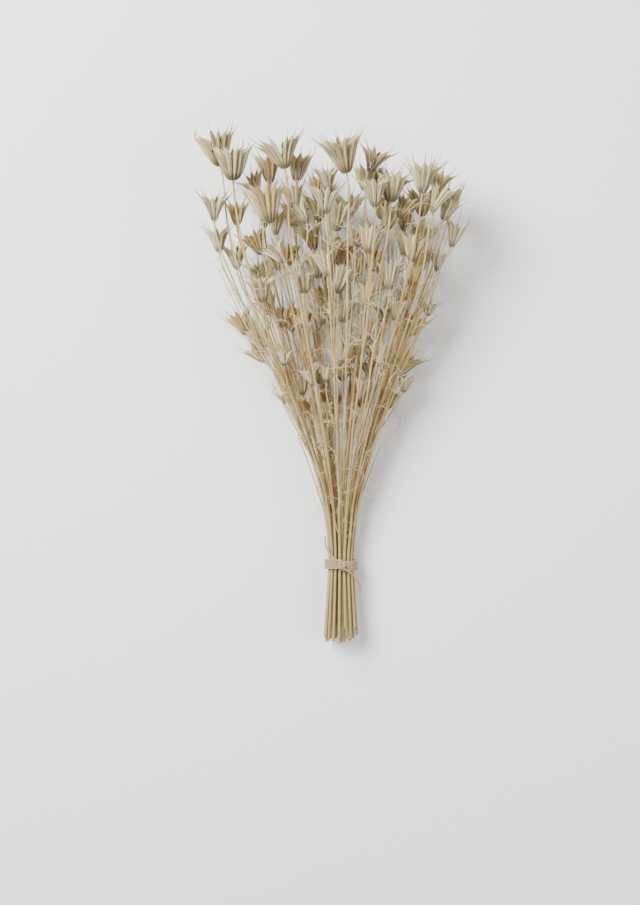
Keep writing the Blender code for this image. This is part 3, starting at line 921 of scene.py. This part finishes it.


# %% [markdown]
# ## The finishes
#
# All of the plant is one dry, bleached stuff, but it doesn't look the same everywhere. Stems are
# cream and straw with fine lines along them. Pods are greyish beige high in the bunch and golden
# lower down, partly their own colour and partly painted shade and bounce light, and stems low in
# the bunch turn golden the same way. Each keel has a thin dark line. Painted shade darkens the
# bottom of each pod and the grooves between follicles, and some follicles are paler or darker,
# partly at random and partly as painted highlight and shade. Bristles turn brown towards their
# tips. Each finish is mixed from noise and from the place on its own sheet, so that it follows
# every bend. A painted picture would also do, but it would have to be drawn anew for every pod.

# %% Small helpers for mixing a finish
class Finish:
    """A finish with short ways to add and join its nodes."""

    def __init__(self, name, roughness):
        self.material = bpy.data.materials.new(name)
        self.material.use_nodes = True
        self.nodes = self.material.node_tree.nodes
        self.shader = self.nodes["Principled BSDF"]
        self.shader.inputs["Roughness"].default_value = roughness

    def node(self, kind, settings=(), **inputs):
        made = self.nodes.new(kind)
        for name, value in settings:
            setattr(made, name, value)
        for name, value in inputs.items():
            self.feed(made.inputs[name.replace("_", " ")], value)
        return made

    def feed(self, socket, value):
        if isinstance(value, bpy.types.NodeSocket):
            self.material.node_tree.links.new(value, socket)
        elif isinstance(value, tuple) and socket.type == "RGBA":
            socket.default_value = (*value, 1)
        else:
            socket.default_value = value

    def sum(self, operation, *values, clamp=False):
        made = self.node("ShaderNodeMath", [("operation", operation), ("use_clamp", clamp)])
        for socket, value in zip(made.inputs, values):
            self.feed(socket, value)
        return made.outputs[0]

    def times(self, first, second):
        return self.sum("MULTIPLY", first, second)

    def fade(self, value, start, end):
        """0 at start and 1 at end, with soft ends."""
        made = self.node("ShaderNodeMapRange", [("interpolation_type", "SMOOTHSTEP")])
        for socket, number in zip(made.inputs, (value, start, end, 0.0, 1.0)):
            self.feed(socket, number)
        return made.outputs[0]

    def blend(self, share, first, second):
        made = self.node("ShaderNodeMix", [("data_type", "RGBA")])
        for index, value in ((0, share), (6, first), (7, second)):
            self.feed(made.inputs[index], value)
        return made.outputs[2]

    def layered(self, colour, *layers):
        """Lays colours over a first one. A layer is a mask, a strength and a colour."""
        for mask, strength, top in layers:
            colour = self.blend(self.times(mask, strength), colour, top)
        return colour

    def noise(self, scale, *values):
        """Noise that runs with three values. Each comes with how fast it runs."""
        where = self.node("ShaderNodeCombineXYZ")
        for socket, (value, speed) in zip(where.inputs, values):
            self.feed(socket, self.times(value, speed))
        made = self.node("ShaderNodeTexNoise", Vector=where.outputs[0], Scale=scale, Detail=3.0)
        return made.outputs["Fac"]

    def place(self):
        """Across and along the sheet, and the three tones."""
        spot = self.node("ShaderNodeUVMap", [("uv_map", "grain")])
        spot = self.node("ShaderNodeSeparateXYZ", Vector=spot.outputs[0])
        tone = self.node("ShaderNodeAttribute", [("attribute_name", "tone")])
        tone = self.node("ShaderNodeSeparateXYZ", Vector=tone.outputs["Vector"])
        return (*spot.outputs[:2], *tone.outputs)

    def coloured(self, colour, height, depth):
        self.feed(self.shader.inputs["Base Color"], colour)
        bump = self.node("ShaderNodeBump", Height=height, Distance=depth, Strength=0.7)
        self.feed(self.shader.inputs["Normal"], bump.outputs[0])
        self.shader.inputs["Specular IOR Level"].default_value = 0.3
        return self.material


# %% The stems' straw
def straw_finish():
    straw = Finish("bleached_straw", 0.55)
    across, along, dry, own, depth = straw.place()
    ribs = straw.noise(2.0, (across, 9.0), (along, 0.5), (own, 1.0))
    patches = straw.noise(2.2, (own, 1.0), (along, 0.35), (dry, 1.0))
    cream = straw.layered(
        (0.50, 0.41, 0.20),
        (straw.fade(patches, 0.35, 0.7), 1.0, (0.40, 0.29, 0.11)),
        (straw.fade(own, 0.4, 0.9), 1.0, (0.45, 0.395, 0.23)),  # some stems are paler
        (straw.fade(dry, 0.55, 1.0), 1.0, (0.42, 0.295, 0.105)),  # and some browner
        # golden low in the bunch: partly own colour, partly painted shade and bounce light
        (straw.fade(depth, 0.75, 0.1), 1.0, (0.46, 0.30, 0.095)),  # golden low in the bunch
        (straw.fade(along, 19.0, 6.0), 0.42, (0.31, 0.225, 0.11)),  # duller near the tie
        (straw.fade(ribs, 0.55, 0.8), 1.0, (0.24, 0.155, 0.065)),
    )
    return straw.coloured(cream, ribs, 0.25 * MM)


# %% The pods' papery skin
def skin_finish():
    skin = Finish("papery_skin", 0.5)
    across, along, dry, own, _ = skin.place()
    fold = skin.sum("ABSOLUTE", skin.sum("SUBTRACT", across, 0.5))  # 0 at the keel
    fibres = skin.noise(1.6, (across, 22.0), (along, 2.2), (own, 40.0))
    clouds = skin.noise(1.3, (across, 3.0), (along, 2.0), (own, 9.0))
    # On pods the dry tone is the pod's height in the bunch with a random part. high rises with it
    # and towards the rim;
    # golden below and greyer above is partly own colour and partly painted shade and bounce light.
    high = skin.sum("MULTIPLY_ADD", along, 0.35, skin.sum("SUBTRACT", dry, 0.2), clamp=True)
    # the share of painted highlight on the paler follicles, greater high up
    pale = skin.sum("MULTIPLY_ADD", high, 0.65, 0.1)
    papery = skin.sum("MULTIPLY_ADD", high, 0.5, 0.25)
    # painted shade: the bottom of each pod darkens, all but its keel
    painted_base_shade = skin.times(skin.fade(along, 0.34, 0.06), skin.fade(fold, 0.015, 0.06))
    # painted shade in the grooves between the follicles
    painted_groove_shade = skin.times(skin.fade(fold, 0.12, 0.17), skin.fade(fold, 0.26, 0.2))
    colour = skin.layered(
        (0.66, 0.44, 0.115),
        # painted shade and bounce light in part: golden low, greyer high up
        (high, 1.0, (0.48, 0.43, 0.24)),  # greyer high up
        (skin.fade(clouds, 0.45, 0.75), 1.0, (0.26, 0.215, 0.135)),
        (skin.fade(fibres, 0.5, 0.8), 0.7, (0.80, 0.71, 0.45)),
        (skin.fade(own, 0.6, 0.9), pale, (0.93, 0.86, 0.63)),  # some follicles paler at random, partly own tone and partly painted highlight
        (skin.fade(own, 0.35, 0.1), 0.45, (0.27, 0.21, 0.12)),  # some follicles darker at random, partly own tone and partly painted shade
        (painted_base_shade, 0.85, (0.10, 0.07, 0.045)),
        (painted_groove_shade, 0.65, (0.15, 0.11, 0.06)),
        (skin.fade(fold, 0.09, 0.02), 0.85, (0.17, 0.13, 0.085)),  # the line of the keel
        (skin.fade(fold, 0.2, 0.36), papery, (0.68, 0.55, 0.28)),  # the inner walls
        (skin.fade(fold, 0.45, 0.49), 0.8, (0.17, 0.125, 0.08)),  # their dark rims
    )
    return skin.coloured(colour, fibres, 0.3 * MM)


# %% The bristles and the wisps
def bristle_finish():
    bristle = Finish("dry_bristle", 0.5)
    _, along, _, own, _ = bristle.place()
    shade = bristle.layered(
        (0.42, 0.34, 0.21),
        (own, 1.0, (0.30, 0.22, 0.13)),
        (bristle.fade(along, 0.1, 0.9), 1.0, (0.24, 0.19, 0.13)),
    )
    return bristle.coloured(shade, own, 0.1 * MM)


def wisp_finish():
    wisp = Finish("thread_leaf", 0.6)
    _, along, _, own, _ = wisp.place()
    grain = wisp.noise(2.0, (own, 1.0), (along, 3.0), (own, 1.0))
    shade = wisp.blend(grain, (0.78, 0.69, 0.44), (0.56, 0.43, 0.20))
    return wisp.coloured(shade, grain, 0.1 * MM)


plant_finishes = [straw_finish(), skin_finish(), bristle_finish(), wisp_finish()]
print("finishes:", [finish.name for finish in plant_finishes])

# %% [markdown]
# ## Growing the sprays
#
# Each spray is one cut stem with all that it carries. Its pieces are gathered in one heap and
# become one object, which takes the place of the plain solid with the same number. Wisps grow
# where shoots leave the stem and at a few places between.

# %% Where the leaves and twigs stand
TWIG_SIDES = (-1, 1, -1)  # a main stem's bare twigs lean to these sides
TWIG_STARTS = (25, 215)  # mm past the tie
END_WISPS = (8, 20)  # the shortest and the longest thread leaf in mm, at pods and twig ends
FORK_WISPS = (15, 36)
TUFT_WISPS = (10, 22)
WISPS_IN_TUFT = 7
LOWEST_WISP = 60 * MM
# Where the leaves stand in tufts, in mm across and along
TUFTS = (
    (-2, 289), (57, 294), (-32, 211), (-31, 260), (-79, 238), (58, 235), (-10, 177),
    (4, 200), (-19, 277), (45, 162), (-63, 188), (28, 226), (-14, 105), (18, 118),
    (-20, 59), (24, 97), (-29, 112), (-4, 66), (-14, 126), (8, 86),
)


def spray_tone(strand, draw):
    """A strand's three tones: how dry it is, its own, and its depth in the bunch."""
    return (draw.random(), draw.random(), min(max(strand.head.depth, 0), 1))


def wisp_places(points, forks, draw):
    """Places on a strand where thread leaves grow, with the way they set off."""
    alongs = [fork + draw.uniform(-2, 2) * MM for fork in forks]
    first = max(points[0, 1], LOWEST_WISP)
    alongs += [draw.uniform(first, points[-1, 1]) for _ in range(draw.choice((1, 1, 2, 2)))]
    for along in alongs:
        k = min(max(int(np.searchsorted(points[:, 1], along)), 1), len(points) - 1)
        heading = unit(points[k] - points[k - 1])
        aside = np.array([draw.gauss(0, 1), 0.2, draw.gauss(0, 1)])
        yield points[k], heading + 0.6 * aside


def curl_heading(draw):
    return np.array([draw.gauss(0, 1), draw.gauss(0.3, 0.8), draw.gauss(0.3, 0.8)])


def bearer(strands, across, along):
    """The strand that a tuft grows on: near its place, and high in the bunch."""
    k = int(along / LEVEL)
    near = [s for s in strands if s.first <= k <= s.base]
    return min(near, key=lambda s: abs(s.centre[k][0] - across) - 0.5 * s.centre[k][1])


# %% One spray
def grow_spray(number, strands, tail_draw, draw):
    """A stem with its shoots, pods, twigs and leaves, as one object."""
    heap = Heap()
    own = [s for j, s in enumerate(strands) if root_of(j, s) == number]
    shoot_forks = [s.first * LEVEL for s in own if s.parent is not None]
    for strand in own:
        points, base, axis = stalk_line(strand, tail_draw)
        forks = shoot_forks if strand.parent is None else []
        tone = spray_tone(strand, draw)
        add_stalk(heap, strand, points.copy(), forks, tone, draw)
        length = strand.head.length * (0.5 + 0.5 * strand.share)
        add_pod(heap, base, axis, length, strand.head.radius * strand.share, tone[2], draw)
        for side in TWIG_SIDES * (strand.parent is None):
            # a twig's depth tone is lowered at random, so it takes more of the golden painted shade
            twig_tone = (draw.random(), draw.random(), tone[2] * draw.random())
            start = draw.uniform(*TWIG_STARTS) * MM
            twig = add_twig(heap, strand, start, side, twig_tone, draw)
            for root in (twig[0], twig[-1]):
                add_wisp(heap, root, curl_heading(draw), draw.uniform(*END_WISPS) * MM, tone, draw)
        for root, heading in wisp_places(points, forks, draw):
            add_wisp(heap, root, heading, draw.uniform(*FORK_WISPS) * MM, tone, draw)
        for _ in range(draw.choice((1, 2, 2, 3))):
            root = points[-1] - axis * draw.uniform(0, 9) * MM
            length = draw.uniform(*END_WISPS) * MM
            line = thread_line(root, curl_heading(draw), length, 0.3, draw)
            add_thread(heap, line, THREAD_RADIUS, tone)
        for across, along in TUFTS:
            if bearer(strands, across * MM, along * MM) is strand:
                root = points[int(np.argmin(abs(points[:, 1] - along * MM)))]
                for _ in range(WISPS_IN_TUFT):
                    heading = curl_heading(draw)
                    length = draw.uniform(*TUFT_WISPS) * MM
                    add_wisp(heap, root, heading, length, tone, draw)
    name = f"spray_{number + 1:02d}"
    spray = heap.made(name + "_dried", plant_finishes)
    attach(spray, "root")
    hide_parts(name)
    return spray


look_draw = random.Random(SEED + 1)
sprays = [grow_spray(i, strands, layout_draw, look_draw) for i in range(SPRAYS)]
faces = [len(spray.data.polygons) for spray in sprays]
print("sprays:", len(sprays), "faces:", sum(faces), "most in one:", max(faces))

# %% [markdown]
# ## The twine
#
# The bunch is held by five turns of jute twine and a knot on top. Real twine is two plies twisted
# round each other, which gives its slanted ribs, so each ply is a tube that winds about the
# twine's middle line. One tube with a rope pattern painted on would look flat at its edges.

# %% Wind the twine
COIL_RADIUS = TIE_RADIUS + 0.95 * TWINE_RADIUS
PLY_RADIUS = 0.62 * MM
PLY_OFFSET = 0.45 * MM
PLY_TWIST = 5.5 * MM  # the length of twine in which the plies go round once
PLY_SIDES = 6
POINTS_IN_TURN = 110
POINTS_IN_END = 90
SMOOTHINGS = 18
LEAST_HEIGHT = 0.02 * MM  # the twine lies on the table, not in it
ALONG_THE_STEMS = (0.05, 1, 0.02)  # a little off, so that no bit of twine runs exactly so


def turns_of_twine():
    """The middle line of the turns, from one end on top to the other."""
    angle = np.linspace(0, math.tau * TIE_TURNS, POINTS_IN_TURN * TIE_TURNS + 1)
    share = angle / angle[-1]
    y = (2 * share - 1) * (TIE_HALF_LENGTH - TWINE_RADIUS)
    x = COIL_RADIUS * np.sin(angle)
    z = TIE_MIDDLE + COIL_RADIUS * np.cos(angle)
    return np.stack([x, y, z], 1)


def loose_end(corners):
    """A smooth line that runs close by a few points."""
    corners = np.array(corners) * MM
    knots = np.linspace(0, 1, len(corners))
    fine = np.linspace(0, 1, POINTS_IN_END)
    line = np.stack([np.interp(fine, knots, corners[:, a]) for a in range(3)], 1)
    for _ in range(SMOOTHINGS):
        line[1:-1] = 0.5 * line[1:-1] + 0.25 * (line[:-2] + line[2:])
    return line


def add_twine(heap, line):
    """Two plies that wind about a line."""
    side, up = square_to(unit(np.gradient(line, axis=0)), ALONG_THE_STEMS)
    far = run_lengths(line)
    ring = np.linspace(0, math.tau, PLY_SIDES, endpoint=False)
    for start in (0, math.pi):
        ply = line + PLY_OFFSET * circle(side, up, start + math.tau * far / PLY_TWIST)
        grid = ply[:, None] + PLY_RADIUS * circle(side[:, None], up[:, None], ring)
        grid[..., 2] = np.maximum(grid[..., 2], LEAST_HEIGHT)
        heap.add(grid, far * CM_IN_METRE, closed=True)


# %% The twine's finish
def jute_finish():
    jute = Finish("jute_twine", 0.85)
    across, along, *_ = jute.place()
    fibres = jute.noise(3.0, (across, 5.0), (along, 1.5), (0.5, 1.0))
    patches = jute.noise(1.5, (0.2, 1.0), (along, 1.0), (0.7, 1.0))
    colour = jute.layered(
        (0.24, 0.14, 0.06),
        (fibres, 1.0, (0.60, 0.44, 0.26)),
        (patches, 0.4, (0.55, 0.42, 0.27)),
    )
    return jute.coloured(colour, fibres, 0.4 * MM)


# %% Tie the knot
# The two loose ends, each through the knot and out over the stems, as mm across, along and
# above the turns
LOOSE_ENDS = (
    ((0, -4.4, 0), (2, -3, 1.6), (1.2, 1.5, 2.6), (-2.6, 1.2, 2.9), (-2.4, -2.2, 2.6),
     (3, -3.2, 2), (9, -7, -1.2), (15, -15, -7), (17, -24, -13)),
    ((0, 4.4, 0), (-2, 3, 1.6), (-1.2, -1.4, 3.4), (2.8, -1.2, 3.6), (2.2, 2.4, 2.2),
     (-4, 4, 1.2), (-10, 9, -1.5), (-14, 17, -6), (-14, 25, -8)),
)
top = (TIE_MIDDLE + COIL_RADIUS) / MM
twine_heap = Heap()
add_twine(twine_heap, turns_of_twine())
for end in LOOSE_ENDS:
    corners = [(across, along, top + above) for across, along, above in end]
    add_twine(twine_heap, loose_end(corners))
twine = twine_heap.made("tie_twine", [jute_finish()])
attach(twine, "root")
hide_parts("tie")
print("twine faces:", len(twine.data.polygons))

# %% [markdown]
# ## The last look
#
# The fine bunch must be no larger than the plain one, because other work relies on that size. The
# plain one's size is printed before the script ends.

# %% Print the plain size
print("plain box:", [[round(c / MM, 1) for c in corner] for corner in plain_box])
